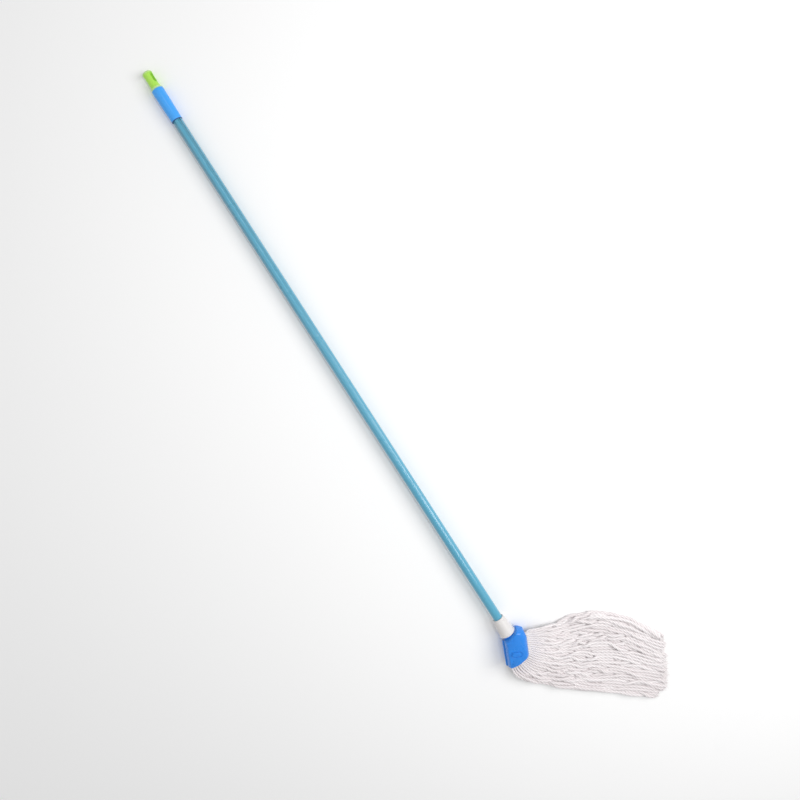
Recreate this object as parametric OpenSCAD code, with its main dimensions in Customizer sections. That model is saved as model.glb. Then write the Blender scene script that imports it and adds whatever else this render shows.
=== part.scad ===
// String mop with a clip head: a tube handle with a grip and a hanging cap, a lock nut on a
// threaded neck, a hinged clip with a press button, and a cotton yarn refill held in the clip.
// It lies on its side on a floor at z = 0. The handle runs along X, the head is at +X, and the
// yarn sweeps towards +Y. Millimetres and degrees.

/* [Handle] */
// Outside diameter of the handle tube
tube_d = 19; // [16:0.5:20]
// Wall of the handle tube
tube_wall = 0.6; // [0.4:0.1:1.5]
// Length of the handle tube
tube_len = 1250; // [900:10:1500]
// Length of the tube held by the lock nut and the neck
socket_depth = 37; // [30:1:38]

/* [Grip and cap] */
// Length of the grip sleeve
grip_len = 63; // [50:1:120]
// Length of the tube inside the grip sleeve
grip_lap = 58; // [40:1:110]
// Wall of the grip at its cap end
grip_wall_top = 1.9; // [1.5:0.1:4]
// Wall of the grip at its tube end
grip_wall_end = 0.9; // [0.8:0.1:1.4]
// Length of the hanging cap outside the grip
cap_len = 35; // [30:1:60]
// Diameter of the cap at its middle
cap_d = 17; // [15:0.5:20]
// Diameter of the cap's flared tip
cap_tip_d = 19; // [15:0.5:22]
// Length of the plug that holds the cap in the tube
cap_plug_len = 22; // [15:1:40]
// Length of the hanging slot
slot_len = 20; // [12:1:24]
// Width of the hanging slot
slot_w = 7.5; // [5:0.5:8]
// Turn of the hanging slot about the handle, from straight up
slot_turn = 64; // [0:1:90]

/* [Lock nut and neck] */
// Length of the lock nut
nut_len = 40; // [38:1:50]
// Diameter of the nut's lip round the tube
nut_lip_d = 24.4; // [24:0.2:30]
// Length of that lip
nut_lip_len = 6; // [5:0.5:8]
// Diameter of the nut's cone beside the lip
nut_top_d = 26; // [26:0.5:31]
// Diameter of the nut's wide end
nut_end_d = 33.5; // [32:0.5:38]
// Wall of the nut
nut_wall = 1.3; // [1:0.1:1.6]
// Length of the collet ring that grips the tube
collet_len = 9.5; // [7:0.5:11]
// Height of a thread ridge
thread_h = 0.9; // [0.5:0.1:1.1]
// Distance between thread ridges
thread_pitch = 6; // [5:0.5:7]

/* [Clip] */
// Turn of the clip's spine away from the handle's line
clip_angle = 22; // [15:1:30]
// Length of the clip along its spine
clip_len = 85; // [80:1:110]
// Width of the clip from its spine to its mouth
clip_w = 47; // [45:1:60]
// Thickness of the clip with both halves shut
clip_t = 42; // [41:0.5:54]
// Wall of both clip halves
clip_wall = 2.4; // [1.8:0.1:3]
// Height of the mouth that the yarn comes out of
mouth_h = 13.6; // [11:0.2:16]
// Diameter of the hinge pin
pin_d = 3; // [2.5:0.1:4]
// Diameter of a hinge knuckle
knuckle_d = 7.5; // [7:0.5:10]

/* [Button] */
// Length of the release button
button_len = 21; // [16:0.5:24]
// Width of the release button
button_w = 10; // [10:0.5:13]
// Height of the button above the clip
button_proud = 1.4; // [0.8:0.1:2]
// Travel of the button
button_travel = 2.5; // [1.5:0.1:3]
// Diameter of the button's stem
stem_d = 5; // [4:0.2:6]
// Wire of the button's spring
wire_d = 0.8; // [0.5:0.1:1]

/* [Yarn] */
// Distance from the clip's mouth to the yarn's cut ends
yarn_len = 310; // [250:2:380]
// Direction in which the yarn sweeps, from the handle's line
yarn_angle = 47.7; // [42:0.1:58]
// Width of the yarn across its cut ends
yarn_spread = 143; // [110:1:172]
// Turn of the cut ends' line away from square to the sweep
cut_slant = 19.1; // [0:0.1:24]
// How much shorter the yarn is at the spine's end
cut_step = 26; // [0:1:32]
// Height of the yarn heap at its thickest
yarn_h = 30; // [22:1:36]
// Height of the yarn heap at its cut ends
yarn_tip_h = 15; // [10:1:24]
// Depth of the stitched band that holds the yarn
band_w = 9; // [6:0.5:10]

/* [Fits] */
// Radial clearance of a turning or sliding fit
run_gap = 0.06; // [0.03:0.01:0.1]
// Clearance between pieces of different bodies that pass each other
part_gap = 0.4; // [0.3:0.05:0.6]
// Space between two yarn bundles, as a share of the mouth
bundle_gap = 0.006; // [0.003:0.001:0.01]

/* [Hidden] */
$fn = 48;
bundles = 10;
lime = [0.62, 0.88, 0.32];
grip_blue = [0.28, 0.66, 0.98];
teal = [0.35, 0.62, 0.74];
clip_blue = [0.16, 0.48, 0.90];
nut_white = [0.90, 0.88, 0.87];
yarn_white = [0.94, 0.91, 0.92];

// Stations along the handle's line, from the wide end of the lock nut, positive into the clip.
tube_r = tube_d / 2;
nut_s0 = -nut_len;
tube_s1 = nut_s0 + socket_depth;
tube_s0 = tube_s1 - tube_len;
grip_s1 = tube_s0 + grip_lap;
grip_s0 = grip_s1 - grip_len;
tip_s = grip_s0 - cap_len;
plug_r = tube_r - tube_wall - run_gap;
collet_s0 = nut_s0 + 4;
collet_s1 = collet_s0 + collet_len;
neck_s0 = collet_s1 + 0.5;
neck_s1 = part_gap + clip_wall;
neck_end_r = nut_end_d / 2 - nut_wall - thread_h - part_gap;

// The handle's line meets the clip at half its thickness and dips until the grip rests on the floor.
axis_z = clip_t / 2;
grip_r0 = tube_r + grip_wall_top;
dip = asin((axis_z - grip_r0) / -grip_s0);

// The origin is on the clip's back face, this far past the lock nut.
base_x = 30;

// The clip's outline, in its own frame at the nut's wide end, with X along the spine.
x0 = -11.5;
x1 = x0 + clip_len;
y0 = -10.3;
y1 = y0 + clip_w;
outline = [[x0 + 21, y0], [x1, y0], [x1 - 5, y0 + 24], [x1 - 20, y1 - 1], [x0 + 21, y1],
    [x0 + 5, y1 - 5], [x0, y0 + 30]];
corner_r = [4, 4, 8, 12, 10, 6, 4];
// How far each corner moves in on the way up to the clip's flat front: a wide lip along the mouth.
face_move = [[4, 5], [-5, 5], [-6, -3], [-4, -5], [2, -12], [4.5, -11], [4.5, -4]];
// How far each corner moves in on the way down to the flat back: a slope beside the lock nut.
back_move = [[5, 3], [-3, 3], [-3, -2], [-3, -3], [4, -4], [9, -6], [10, -5]];
seam_lo = axis_z - part_gap / 2;
seam_hi = axis_z + part_gap / 2;
mouth_lo = axis_z - mouth_h / 2;
mouth_hi = axis_z + mouth_h / 2;

// The clip's fixed shoulder covers the neck. It ends square to the hinge pin and on a round face
// centred on the pin, so that the jaw swings past it.
split_x = neck_s1 * cos(clip_angle) + (neck_end_r + part_gap) * sin(clip_angle) + 1;
split_r = part_gap * sin(clip_angle) + (nut_end_d / 2 + part_gap) * cos(clip_angle) - y0 + 1.5;
knuckle_r = knuckle_d / 2;
knuckles = 5;
knuckle_x0 = x0 + 25;
knuckle_step = (x1 - 3 - knuckle_x0) / knuckles;

// The button, its pocket, its well and the post that it presses.
button_at = [x1 - 34.5, y0 + 20.3];
pocket_z = clip_t - 5;
well_z = clip_t - 11;
well_r = 4.6;
button_z = pocket_z + button_travel + part_gap;
stem_z = well_z - 3;
post_z = stem_z - button_travel - 0.5;

// The yarn's band runs just inside the mouth.
band_line = [[x1 - 7, y0 + 9], [x1 - 11, y0 + 24], [x1 - 27, y1 - 9.5], [x0 + 27, y1 - 9], [x0 + 15, y1 - 10]];
band_bends = [0, 14, 16, 12, 0];
band_lo = mouth_lo + part_gap;
band_hi = mouth_hi - part_gap;
bundle_sides = 12;
bundle_rings = 14;
root_depth = 1.5;

function mix(a, b, w) = a + (b - a) * w;
function clamp(x) = min(1, max(0, x));
function smooth(x) = let (c = clamp(x)) c * c * (3 - 2 * c);
function unit(v) = v / norm(v);
function heading(a) = [cos(a), sin(a)];
function left(a, b) = let (u = unit(b - a)) [-u.y, u.x];
function reversed(list) = [for (i = [len(list) - 1 : -1 : 0]) list[i]];

// An arc of radius r that rounds the corner b between a and c.
function corner(a, b, c, r, steps = 6) =
    let (u = unit(a - b), v = unit(c - b), half = acos(u * v) / 2,
         centre = b + unit(u + v) * r / sin(half),
         from = b + u * r / tan(half) - centre, to = b + v * r / tan(half) - centre)
    [for (i = [0 : steps]) centre + unit(mix(from, to, i / steps)) * r];

function rounded(pts, radii) =
    let (n = len(pts))
    [for (i = [0 : n - 1], p = corner(pts[(i + n - 1) % n], pts[i], pts[(i + 1) % n], radii[i])) p];

function rounded_line(pts, radii) =
    let (n = len(pts))
    [for (i = [0 : n - 1], p = i == 0 || i == n - 1 ? [pts[i]]
        : corner(pts[i - 1], pts[i], pts[i + 1], radii[i])) p];

// Each point of a closed outline, or of an open line, moved to the left of its own direction.
function inset(pts, d) =
    let (n = len(pts))
    [for (i = [0 : n - 1]) let (a = left(pts[(i + n - 1) % n], pts[i]), b = left(pts[i], pts[(i + 1) % n]))
        pts[i] + d * (a + b) / (1 + a * b)];

function beside(line, d) =
    let (n = len(line))
    [for (i = [0 : n - 1]) let (k = max(i, 1), m = min(i, n - 2), a = left(line[k - 1], line[k]),
         b = left(line[m], line[m + 1]))
        line[i] + d * (a + b) / (1 + a * b)];

function strip(line, d0, d1) = concat(beside(line, d0), reversed(beside(line, d1)));

// Length of a line up to each of its points, and the point at a share of its length.
function lengths(line, i = 0, sum = 0) =
    i == len(line) - 1 ? [sum] : concat([sum], lengths(line, i + 1, sum + norm(line[i + 1] - line[i])));

function along(line, share) =
    let (at = lengths(line), want = clamp(share) * at[len(at) - 1],
         i = max([for (k = [0 : len(line) - 2]) if (at[k] <= want) k]))
    mix(line[i], line[i + 1], (want - at[i]) / (at[i + 1] - at[i]));

// A closed solid through rings that each have the same number of points.
module loft(rings) {
    n = len(rings[0]);
    last = len(rings) - 1;
    mid0 = [for (k = [0 : 2]) [for (p = rings[0]) p[k]] * [for (p = rings[0]) 1] / n];
    mid1 = [for (k = [0 : 2]) [for (p = rings[last]) p[k]] * [for (p = rings[last]) 1] / n];
    points = concat([for (ring = rings, p = ring) p], [mid0, mid1]);
    ends = len(points) - 2;
    polyhedron(points, concat(
        [for (j = [0 : n - 1]) [ends, j, (j + 1) % n]],
        [for (i = [0 : last - 1], j = [0 : n - 1])
            [i * n + j, (i + 1) * n + j, (i + 1) * n + (j + 1) % n, i * n + (j + 1) % n]],
        [for (j = [0 : n - 1]) [ends + 1, last * n + (j + 1) % n, last * n + j]]));
}

// Frames: the handle's line as Z with straight up as -X, and the clip's own frame.
module on_handle() {
    translate([-base_x, 0, axis_z]) rotate([0, 90 - dip, 0]) children();
}

module in_clip() {
    translate([-base_x, 0, 0]) rotate([0, 0, -clip_angle]) children();
}

function on_plan(p) =
    [p.x * cos(clip_angle) + p.y * sin(clip_angle) - base_x, p.y * cos(clip_angle) - p.x * sin(clip_angle)];

module turned(profile) {
    rotate_extrude() polygon(profile);
}

module rod(r, s0, s1) {
    translate([0, 0, s0]) cylinder(r = r, h = s1 - s0);
}

module ring(r_in, r_out, s0, s1) {
    difference() {
        rod(r_out, s0, s1);
        rod(r_in, s0 - 1, s1 + 1);
    }
}

// A rounded bar along Y, standing on z0.
module oval(len, w, z0, z1) {
    for (side = [-1, 1]) translate([0, side * (len - w) / 2, z0]) cylinder(d = w, h = z1 - z0);
    translate([-w / 2, -(len - w) / 2, z0]) cube([w, len - w, z1 - z0]);
}

// ---- Handle

module handle_tube() color(teal) on_handle() ring(tube_r - tube_wall, tube_r, tube_s0, tube_s1);

// Closes the tube's end inside the neck: a cup with a rim.
module tube_end_plug() color(nut_white) on_handle() {
    difference() {
        union() {
            rod(plug_r, tube_s1 - 16, tube_s1);
            rod(tube_r - 0.2, tube_s1, tube_s1 + 1.4);
        }
        rod(plug_r - 1.5, tube_s1 - 17, tube_s1 - 1.5);
    }
}

module grip_sleeve() color(grip_blue) on_handle() difference() {
    turned([[0, grip_s0], [grip_r0 - 1, grip_s0], [grip_r0 - 0.3, grip_s0 + 0.3], [grip_r0, grip_s0 + 1],
        [grip_r0, grip_s0 + 3], [tube_r + grip_wall_end, grip_s1 - 1], [tube_r + grip_wall_end - 0.3, grip_s1],
        [0, grip_s1]]);
    rod(tube_r, tube_s0, grip_s1 + 1);
    rod(plug_r + run_gap, grip_s0 - 1, tube_s0 + 1);
}

// Hanging cap: a rim on the grip, a waist, a flared round tip, a slot right through, and a ribbed plug.
module hanger_cap() color(lime) on_handle() {
    waist = cap_d / 2;
    tip_r = cap_tip_d / 2;
    difference() {
        turned([[0, tip_s], [tip_r - 3, tip_s], [tip_r - 1, tip_s + 0.8], [tip_r, tip_s + 2.5],
            [tip_r - 0.2, tip_s + 4], [waist, tip_s + 10], [waist, grip_s0 - 8],
            [waist + 0.9, grip_s0 - 4], [waist + 1.5, grip_s0 - 3], [waist + 1.5, grip_s0], [0, grip_s0]]);
        rotate([0, 0, 180 - slot_turn]) {
            for (s = [tip_s + 3.5 + slot_w / 2, tip_s + 3.5 + slot_len - slot_w / 2])
                translate([0, 0, s]) rotate([0, 90, 0]) cylinder(d = slot_w, h = 3 * cap_d, center = true);
            translate([-1.5 * cap_d, -slot_w / 2, tip_s + 3.5 + slot_w / 2])
                cube([3 * cap_d, slot_w, slot_len - slot_w]);
        }
    }
    rod(plug_r - 0.8, grip_s0 - 1, tube_s0 + cap_plug_len);
    for (i = [0 : 2]) rod(plug_r, tube_s0 + 2 + i * 6, tube_s0 + 4 + i * 6);
}

// ---- Lock nut, collet ring and neck

function nut_r(s) = mix(nut_top_d / 2, nut_end_d / 2, (s - nut_s0 - nut_lip_len) / (nut_len - nut_lip_len));
function nut_in(s) = nut_r(s) - nut_wall;
function neck_r(s) = nut_in(s) - thread_h - part_gap;
function thread_s(i) = neck_s0 + 4 + i * thread_pitch;
lip_in = nut_lip_d / 2 - 1.2;

module lock_nut() color(nut_white) on_handle() {
    turned([[tube_r + part_gap, nut_s0], [nut_lip_d / 2 - 0.5, nut_s0], [nut_lip_d / 2, nut_s0 + 0.5],
        [nut_lip_d / 2, nut_s0 + nut_lip_len - 0.8], [nut_top_d / 2, nut_s0 + nut_lip_len],
        [nut_end_d / 2, -1.5], [nut_end_d / 2 - 0.1, -0.6], [nut_end_d / 2 - 0.7, 0], [nut_in(0), 0],
        [nut_in(neck_s0), neck_s0 - 0.2], [lip_in, collet_s0 - part_gap], [tube_r + part_gap, collet_s0 - part_gap]]);
    for (i = [0 : 2]) let (s = thread_s(i + 0.5)) ring(nut_in(s) - thread_h, nut_in(s) + 0.6, s - 0.7, s + 0.7);
}

// Split tapered ring that the nut's cone squeezes onto the tube.
module collet_ring() color(nut_white) on_handle() difference() {
    turned([[tube_r + run_gap, collet_s0], [lip_in - part_gap, collet_s0],
        [nut_in(collet_s1) - part_gap - 0.3, collet_s1], [tube_r + run_gap, collet_s1]]);
    translate([-2 * tube_r, -1, collet_s0 - 1]) cube([2 * tube_r, 2, collet_len + 2]);
}

module neck() on_handle() {
    difference() {
        union() {
            turned([[0, neck_s0], [neck_r(neck_s0), neck_s0], [neck_r(0), 0], [neck_r(0), neck_s1], [0, neck_s1]]);
            for (i = [0 : 2]) let (s = thread_s(i)) rod(neck_r(s) + thread_h, s - 0.7, s + 0.7);
        }
        rod(tube_r + run_gap, neck_s0 - 1, tube_s1 + 2);
        for (a = [0, 90]) rotate([0, 0, a])
            translate([-nut_end_d / 2, -1, neck_s0 - 1]) cube([nut_end_d, 2, 12]);
    }
}

// ---- Clip

// The clip's outline at height z: w is 0 at its full outline and 1 at its flat front.
function section(w, z, wall, move = face_move) =
    let (pts = inset([for (i = [0 : len(outline) - 1]) outline[i] + w * move[i]], wall),
         radii = [for (r = corner_r) max(1.2, r - wall)])
    [for (p = rounded(pts, radii)) [p.x, p.y, z]];

module front_solid(z0) loft([section(0, z0, 0), section(0, axis_z + 8.5, 0), section(0.15, clip_t - 9, 0),
    section(0.45, clip_t - 4, 0), section(0.8, clip_t - 0.9, 0), section(1, clip_t, 0)]);

module front_hollow() loft([section(0, seam_lo - 1, clip_wall), section(0, axis_z + 7.5, clip_wall),
    section(0.15, clip_t - 10.5, clip_wall), section(0.5, clip_t - 5.5, clip_wall),
    section(0.9, clip_t - clip_wall, clip_wall)]);

module back_solid() loft([section(1, 0, 0, back_move), section(0.85, 1.2, 0, back_move),
    section(0.6, 5, 0, back_move), section(0.3, 10, 0, back_move), section(0, axis_z - 5, 0),
    section(0, seam_lo, 0)]);

module back_hollow() loft([section(0.85, clip_wall, clip_wall, back_move), section(0.62, 5, clip_wall, back_move),
    section(0.3, 10.5, clip_wall, back_move), section(0, axis_z - 4.5, clip_wall), section(0, seam_hi + 1, clip_wall)]);

// The space outside the mouth, cut from both halves between the lips.
module mouth_space() translate([0, 0, mouth_lo]) linear_extrude(mouth_h)
    polygon([[x1 - 8, y0 + 5], [x1 + 20, y0 + 5], [x1 + 20, y1 + 20], [x0 + 4, y1 + 20],
        [x0 + 10, y1 - 8], [x1 - 24, y1 - 8], [x1 - 10, y0 + 22]]);

module knuckle_rods(first, r, spare) {
    for (i = [first : 2 : knuckles - 1])
        translate([knuckle_x0 + i * knuckle_step - spare, y0, axis_z]) rotate([0, 90, 0])
            cylinder(r = r, h = knuckle_step + 2 * spare);
}

module on_pin(x) translate([x, y0, axis_z]) rotate([0, 90, 0]) children();

module pin_hole(r) {
    on_pin(x0) cylinder(r = r, h = clip_len + 10);
    for (x = [knuckle_x0 - 2, knuckle_x0 + knuckles * knuckle_step])
        on_pin(x) cylinder(r = pin_d / 2 + 1 + part_gap, h = 2);
}

// The shoulder's room, grown by spare: a round bar about the hinge pin, cut square at split_x.
module shoulder_room(spare) on_pin(x0 - 10) cylinder(r = split_r + spare, h = split_x + spare - x0 + 10);

module bulkhead() rotate([0, 0, clip_angle]) translate([part_gap, -60, 0]) cube([clip_wall, 120, clip_t + 5]);

module nut_space() on_handle() rod(nut_end_d / 2 + part_gap, -nut_len, part_gap);

// Ridges that bite the yarn's band from below and above.
module bite_ridge(z0, z1) translate([0, 0, z0]) linear_extrude(z1 - z0)
    polygon(strip(rounded_line(band_line, band_bends), band_w / 2 - 1.2, band_w / 2 + 1.2));

// Room for the yarn's band and for the yarn outside it.
module band_space() translate([0, 0, mouth_lo - 0.25]) linear_extrude(mouth_h + 0.5)
    polygon(strip(band_line, -30, band_w + part_gap));

module shoulder() difference() {
    intersection() {
        front_solid(seam_lo - 0.5);
        shoulder_room(0);
    }
    intersection() {
        front_hollow();
        shoulder_room(-clip_wall);
    }
}

module clip_back() color(clip_blue) {
    difference() {
        in_clip() difference() {
            union() {
                difference() {
                    back_solid();
                    back_hollow();
                }
                shoulder();
                intersection() {
                    bulkhead();
                    union() {
                        back_solid();
                        intersection() {
                            front_solid(seam_lo - 0.5);
                            shoulder_room(0);
                        }
                    }
                }
                knuckle_rods(0, knuckle_r, -part_gap / 4);
            }
            mouth_space();
            band_space();
            knuckle_rods(1, knuckle_r + part_gap, part_gap / 4);
            pin_hole(pin_d / 2);
        }
        nut_space();
    }
    neck();
    in_clip() {
        bite_ridge(clip_wall - 0.5, band_lo);
        translate([button_at.x, button_at.y, clip_wall - 0.5]) cylinder(r1 = 5, r2 = 3.6, h = post_z - clip_wall + 0.5);
    }
    for (side = [-1, 1]) translate([-base_x + part_gap + 1, side * 9 - 1.25, clip_wall - 0.5])
        cube([16, 2.5, axis_z - 10]);
}

module clip_front() color(clip_blue) {
    difference() {
        in_clip() difference() {
            union() {
                difference() {
                    front_solid(seam_hi);
                    front_hollow();
                }
                intersection() {
                    front_solid(seam_hi);
                    shoulder_room(part_gap + clip_wall);
                }
                knuckle_rods(1, knuckle_r, -part_gap / 4);
                bite_ridge(band_hi + part_gap, clip_t - clip_wall + 0.3);
                translate([button_at.x, button_at.y, 0]) {
                    oval(button_len + 4, button_w + 4, pocket_z - 1.6, clip_t - 1);
                    translate([0, 0, well_z - 1.8]) cylinder(r = well_r + 1.6, h = pocket_z - well_z + 1);
                }
            }
            mouth_space();
            band_space();
            shoulder_room(part_gap);
            knuckle_rods(0, knuckle_r + part_gap, part_gap / 4);
            pin_hole(pin_d / 2 + run_gap);
            translate([button_at.x, button_at.y, 0]) {
                oval(button_len + 2 * part_gap, button_w + 2 * part_gap, pocket_z, clip_t + 5);
                translate([0, 0, well_z]) cylinder(r = well_r, h = 8);
                translate([0, 0, well_z - 5]) cylinder(r = stem_d / 2 + run_gap, h = 8);
            }
        }
        nut_space();
    }
}

module hinge_pin() color("silver") in_clip() translate([knuckle_x0, y0, axis_z]) rotate([0, 90, 0]) {
    span = knuckles * knuckle_step;
    rod(pin_d / 2, -0.5, span + 0.5);
    for (s = [-1.5, span + 0.3]) rod(pin_d / 2 + 1, s, s + 1.2);
}

module release_button() color(clip_blue) in_clip() translate([button_at.x, button_at.y, 0]) {
    oval(button_len, button_w, button_z, clip_t + button_proud - 0.7);
    oval(button_len - 1.6, button_w - 1.6, button_z, clip_t + button_proud);
    translate([0, 0, stem_z]) cylinder(d = stem_d, h = button_z - stem_z + 0.5);
}

// Coil spring between the floor of the well and the button: one tube swept round a helix.
module button_spring() color("silver") in_clip() translate([button_at.x, button_at.y, 0]) {
    turns = 4;
    steps = 14;
    coil_r = well_r - 0.3 - wire_d / 2;
    z_lo = well_z + wire_d / 2 + 0.05;
    z_hi = button_z - wire_d / 2 - 0.05;
    loft([for (i = [0 : turns * steps]) let (a = 360 * i / steps, z = mix(z_lo, z_hi, i / turns / steps))
        [for (k = [0 : 5]) let (b = -60 * k, r = coil_r + wire_d / 2 * cos(b))
            [r * cos(a), r * sin(a), z + wire_d / 2 * sin(b)]]]);
}

// ---- Yarn

module yarn_band() color(yarn_white) in_clip() translate([0, 0, band_lo]) linear_extrude(band_hi - band_lo)
    polygon(strip(rounded_line(band_line, band_bends), 0, band_w));

// The yarn's flow over the floor: t is 0 at the spine's end of the mouth and 1 at the nut's end,
// and s is 0 at the band and 1 at the cut ends.
function cubic(a, b, c, d, s) =
    a * pow(1 - s, 3) + 3 * b * s * pow(1 - s, 2) + 3 * c * s * s * (1 - s) + d * pow(s, 3);

function flow(t, s) =
    let (root = beside(rounded_line(band_line, band_bends), root_depth), start = on_plan(along(root, t)),
         mouth_mid = on_plan([x1 - 33, y1 - 5]),
         across = heading(yarn_angle - 90 + cut_slant), far = yarn_len - cut_step * (1 - smooth(t / 0.16)),
         end = mouth_mid + far * heading(yarn_angle) + yarn_spread * (0.5 - t) * across,
         lead = yarn_len * mix(0.264, 0.4, t) * heading(mix(-24, 98, pow(t, 0.7)) - clip_angle),
         trail = yarn_len * mix(0.4, 0.54, t) * heading(yarn_angle - mix(0.6, 23.4, t)))
    cubic(start, start + lead, end - trail, end, s);

function heap_top(t, s) =
    let (full = yarn_h * (1 - 0.3 * pow(2 * t - 1, 2)), grown = mix(band_hi - 0.4, full, smooth((s - 0.08) / 0.3)))
    grown - (full - yarn_tip_h) * smooth((s - 0.4) / 0.6);
function heap_bottom(s) = mix(band_lo + 0.4, 0, smooth((s - 0.08) / 0.27));

function squarish(x) = sign(x) * pow(abs(x), 0.7);

function bundle_ring(i, s) =
    let (half = 0.5 / bundles - bundle_gap / 2, mid = (i + 0.5) / bundles, lo = heap_bottom(s), hi = heap_top(mid, s))
    [for (k = [0 : bundle_sides - 1]) let (a = 360 * k / bundle_sides,
         p = flow(mid + half * squarish(cos(a)), s))
        [p.x, p.y, mix(lo, hi, 0.5 + 0.5 * squarish(sin(a)))]];

module yarn_bundle(number) color(yarn_white)
    loft([for (j = [0 : bundle_rings]) bundle_ring(number - 1, pow(j / bundle_rings, 1.15))]);

handle_tube();
tube_end_plug();
grip_sleeve();
hanger_cap();
lock_nut();
collet_ring();
clip_back();
clip_front();
hinge_pin();
release_button();
button_spring();
yarn_band();
yarn_bundle(1);  // yarn_bundle_1
yarn_bundle(2);  // yarn_bundle_2
yarn_bundle(3);  // yarn_bundle_3
yarn_bundle(4);  // yarn_bundle_4
yarn_bundle(5);  // yarn_bundle_5
yarn_bundle(6);  // yarn_bundle_6
yarn_bundle(7);  // yarn_bundle_7
yarn_bundle(8);  // yarn_bundle_8
yarn_bundle(9);  // yarn_bundle_9
yarn_bundle(10);  // yarn_bundle_10
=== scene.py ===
# %% [markdown]
# # A string mop with a clip head
# The mop lies on its side on a pale floor. A painted steel tube carries a blue grip and a lime
# hanging cap at one end. At the other, a white lock nut screws onto a hinged blue clip, which
# bites the tape of a refill of twisted cotton yarn. The exact CAD model is loaded first as a
# fixed frame, and each visible piece is then finished on it, in metres and in the same place.

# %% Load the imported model
import math
import bpy
import numpy as np
from mathutils import Matrix, Vector


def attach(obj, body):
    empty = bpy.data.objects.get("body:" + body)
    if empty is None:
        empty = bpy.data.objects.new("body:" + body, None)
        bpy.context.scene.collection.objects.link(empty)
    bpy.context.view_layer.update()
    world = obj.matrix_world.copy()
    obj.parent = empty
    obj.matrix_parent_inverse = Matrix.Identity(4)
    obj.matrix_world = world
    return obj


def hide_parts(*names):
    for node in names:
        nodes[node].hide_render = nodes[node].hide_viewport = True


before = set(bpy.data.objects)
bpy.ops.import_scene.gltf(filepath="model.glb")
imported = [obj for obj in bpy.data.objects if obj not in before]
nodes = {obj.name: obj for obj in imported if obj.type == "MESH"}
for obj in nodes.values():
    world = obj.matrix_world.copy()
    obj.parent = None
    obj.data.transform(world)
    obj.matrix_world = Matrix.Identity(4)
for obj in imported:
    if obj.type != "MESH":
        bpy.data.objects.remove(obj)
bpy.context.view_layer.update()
MM = 0.001

# %% [markdown]
# ## Camera
# The mop is seen from above, a little past the middle of the handle, with the grip up on the left
# and the yarn spread to the right. A lens of about 31 mm gives the slight widening of the grip's
# end. The camera's axes are written as a look and an up direction, which is easier to read than
# three angles.

# %% Camera
camera_place = Vector((-0.7548, 0.1910, 1.3467))
look = Vector((0.1413, -0.0890, -0.9860)).normalized()
above = Vector((-0.8354, 0.5237, -0.1669))
side = look.cross(above).normalized()
bpy.ops.object.camera_add()
camera = bpy.context.object
turn = Matrix((side, side.cross(look), -look)).transposed()
camera.matrix_world = Matrix.Translation(camera_place) @ turn.to_4x4()
camera.data.sensor_width = 36
camera.data.lens = 30.9
bpy.context.scene.camera = camera
print("camera", tuple(round(v, 3) for v in camera.location), "lens", camera.data.lens)

# %% [markdown]
# ## Floor and light
# A plain pale floor and soft studio light keep the colours clean. One broad lamp stands over the
# right side, a weaker one fills the shadows from the left, and a long narrow strip lamp beside the
# handle draws the bright line along the tube. The world gives the even white of a light tent, and
# the Standard view keeps the paint's colours as they are set.

# %% Floor and light
def select_only(obj):
    """Leave one object selected and active, since operators act on all that is selected."""
    bpy.ops.object.select_all(action="DESELECT")
    obj.select_set(True)
    bpy.context.view_layer.objects.active = obj


def new_material(name):
    """A new material, its node tree and its Principled shader."""
    material = bpy.data.materials.new(name)
    material.use_nodes = True
    tree = material.node_tree
    return material, tree, tree.nodes["Principled BSDF"]


def lamp(name, place, target, size, power):
    """A square soft light at a place, facing a target."""
    bpy.ops.object.light_add(type="AREA", location=place)
    light = bpy.context.object
    light.name = name
    light.data.size = size
    light.data.energy = power
    light.rotation_euler = (Vector(target) - Vector(place)).to_track_quat("-Z", "Y").to_euler()
    return light


FLOOR_SIZE, FLOOR_DROP = 14, 0.0004
bpy.ops.mesh.primitive_plane_add(size=FLOOR_SIZE, location=(-0.5, 0.1, -FLOOR_DROP))
floor = bpy.context.object
floor.name = "studio_floor"
floor_paint, _, floor_shader = new_material("studio_floor")
floor_shader.inputs["Base Color"].default_value = (0.97, 0.97, 0.97, 1)
floor_shader.inputs["Roughness"].default_value = 0.75
floor_shader.inputs["Specular IOR Level"].default_value = 0.2
floor.data.materials.append(floor_paint)

middle = (-0.5, 0.05, 0)
lamp("key_light", Vector(middle) + side * 1.5 + Vector((-0.5, 0.3, 1.5)), middle, 1.2, 27)
lamp("fill_light", Vector(middle) - side * 1.6 + Vector((0.2, -0.1, 1.5)), middle, 2.2, 5)
STRIP_X, STRIP_Y, STRIP_Z = -0.62, 0.42, 1.2
STRIP_LONG, STRIP_WIDE = 1.9, 0.07
strip = lamp("strip_light", (STRIP_X, STRIP_Y, STRIP_Z), (STRIP_X, 0, 0), STRIP_LONG, 4)
strip.data.shape = "RECTANGLE"
strip.data.size_y = STRIP_WIDE
tilt = Matrix.Rotation(-math.atan2(STRIP_Y, STRIP_Z), 4, "X")
strip.matrix_world = Matrix.Translation((STRIP_X, STRIP_Y, STRIP_Z)) @ tilt
studio = bpy.data.worlds.new("studio")
studio.use_nodes = True
studio.node_tree.nodes["Background"].inputs["Color"].default_value = (1, 1, 1, 1)
studio.node_tree.nodes["Background"].inputs["Strength"].default_value = 0.5
bpy.context.scene.world = studio
bpy.context.scene.view_settings.view_transform = "Standard"

# %% [markdown]
# ## Shared effects
# Three effects are node groups, each built once. The fine grain and soft mottling of a moulded
# surface, and the hairline rubbing of one that hands and floors wear, come back in every plastic,
# paint and steel. The lie of cotton fibres goes into the yarn. A group gives out only colours,
# masks and heights, and the shader itself stays in each material.

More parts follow.
